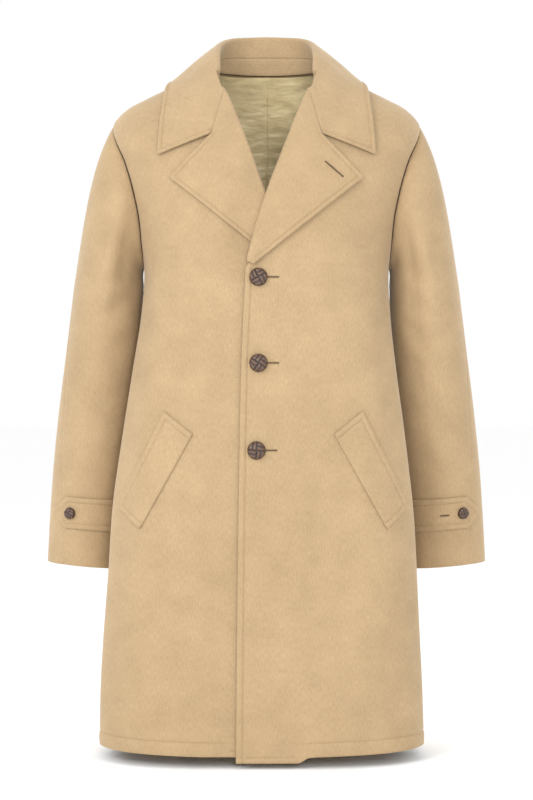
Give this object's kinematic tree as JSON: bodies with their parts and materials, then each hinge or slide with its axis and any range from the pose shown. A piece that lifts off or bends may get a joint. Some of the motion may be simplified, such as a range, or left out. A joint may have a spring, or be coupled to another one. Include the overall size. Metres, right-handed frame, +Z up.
{
  "type": "overcoat",
  "caption": "Single-breasted knee-length wool overcoat with notched lapels, slanted welt pockets and tabbed cuffs, hollow in its worn form.",
  "frame": {"origin": "inside the neck, midway between the points where the two shoulder seams meet the collar", "axes": "+Z up along the body, -Y out of the front, +X to the wearer's left"},
  "size_m": [0.6672, 0.3206, 1.0779],
  "materials": {
    "camel_wool": "brushed",
    "gold_lining": "satin",
    "brown_leather": "satin"
  },
  "bodies": {
    "root": {"front_left": "camel_wool", "front_right": "camel_wool", "facing_left": "camel_wool", "facing_right": "camel_wool", "back_left": "camel_wool", "back_right": "camel_wool", "collar_fall": "camel_wool", "collar_stand": "camel_wool", "sleeve_left_top": "camel_wool", "sleeve_left_under": "camel_wool", "sleeve_right_top": "camel_wool", "sleeve_right_under": "camel_wool", "tab_left": "camel_wool", "tab_right": "camel_wool", "welt_left": "camel_wool", "welt_right": "camel_wool", "lining_back_left": "gold_lining", "lining_back_right": "gold_lining", "button_front_1": "brown_leather", "button_front_2": "brown_leather", "button_front_3": "brown_leather", "button_cuff_left": "brown_leather", "button_cuff_right": "brown_leather"}
  },
  "joints": []
}
